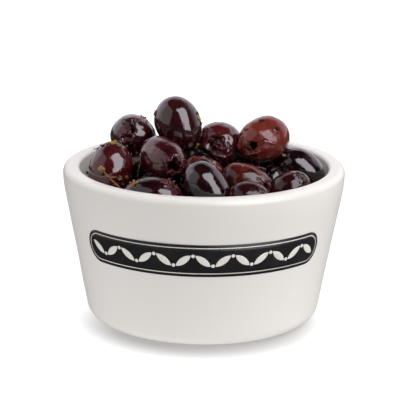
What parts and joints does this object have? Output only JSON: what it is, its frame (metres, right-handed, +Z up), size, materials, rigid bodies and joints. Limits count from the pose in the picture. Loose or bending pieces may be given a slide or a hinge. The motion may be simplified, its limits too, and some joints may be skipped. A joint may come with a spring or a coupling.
{
  "type": "dish of olives",
  "caption": "Small round glazed stoneware dish with a thick rolled rim, heaped above the rim with pitted black olives and a few dried herbs.",
  "frame": {"origin": "middle of the dish's base, on the table", "axes": "+Z up along the dish's axis, -Y towards the front with the printed band, +X to the right seen from the front"},
  "size_m": [0.11, 0.11, 0.0861],
  "materials": {
    "glaze": "warm off-white glossy glaze",
    "olive": "wet, oiled dark skin, from near black to red brown",
    "band": "printed under the glaze, near black with cream marks",
    "herb": "dried leaf flakes and stem, dull"
  },
  "bodies": {
    "root": {"bowl": "glaze", "olives": "olive"}
  },
  "joints": []
}
